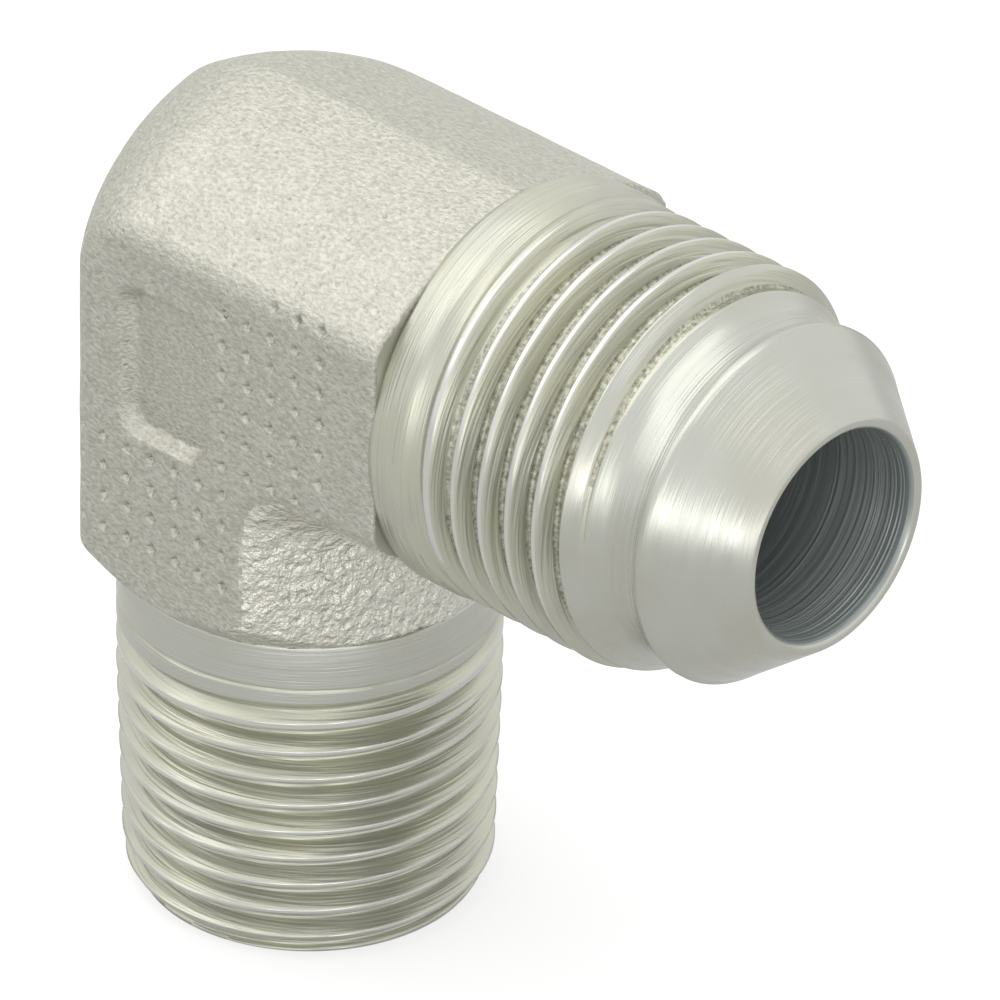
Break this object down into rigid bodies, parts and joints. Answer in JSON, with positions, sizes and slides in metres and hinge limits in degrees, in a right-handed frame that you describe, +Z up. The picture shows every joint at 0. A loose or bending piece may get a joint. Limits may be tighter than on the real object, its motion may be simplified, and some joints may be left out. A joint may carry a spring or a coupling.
{
  "type": "hydraulic elbow adapter",
  "caption": "Forged steel right-angle elbow adapter with a flared male end, a tapered male pipe end and flat wrench pads, for hydraulic lines.",
  "frame": {"origin": "middle of the pipe end's face, on the pipe arm's axis", "axes": "+X the way the flare end points, +Z up the pipe arm's axis to the bend, +Y across the wrench pads"},
  "size_m": [0.0407, 0.0192, 0.0401],
  "materials": {
    "plated_steel": "clear zinc plate over a blasted forging, bright on the turned ends"
  },
  "bodies": {
    "root": {"elbow": "plated_steel"}
  },
  "joints": []
}
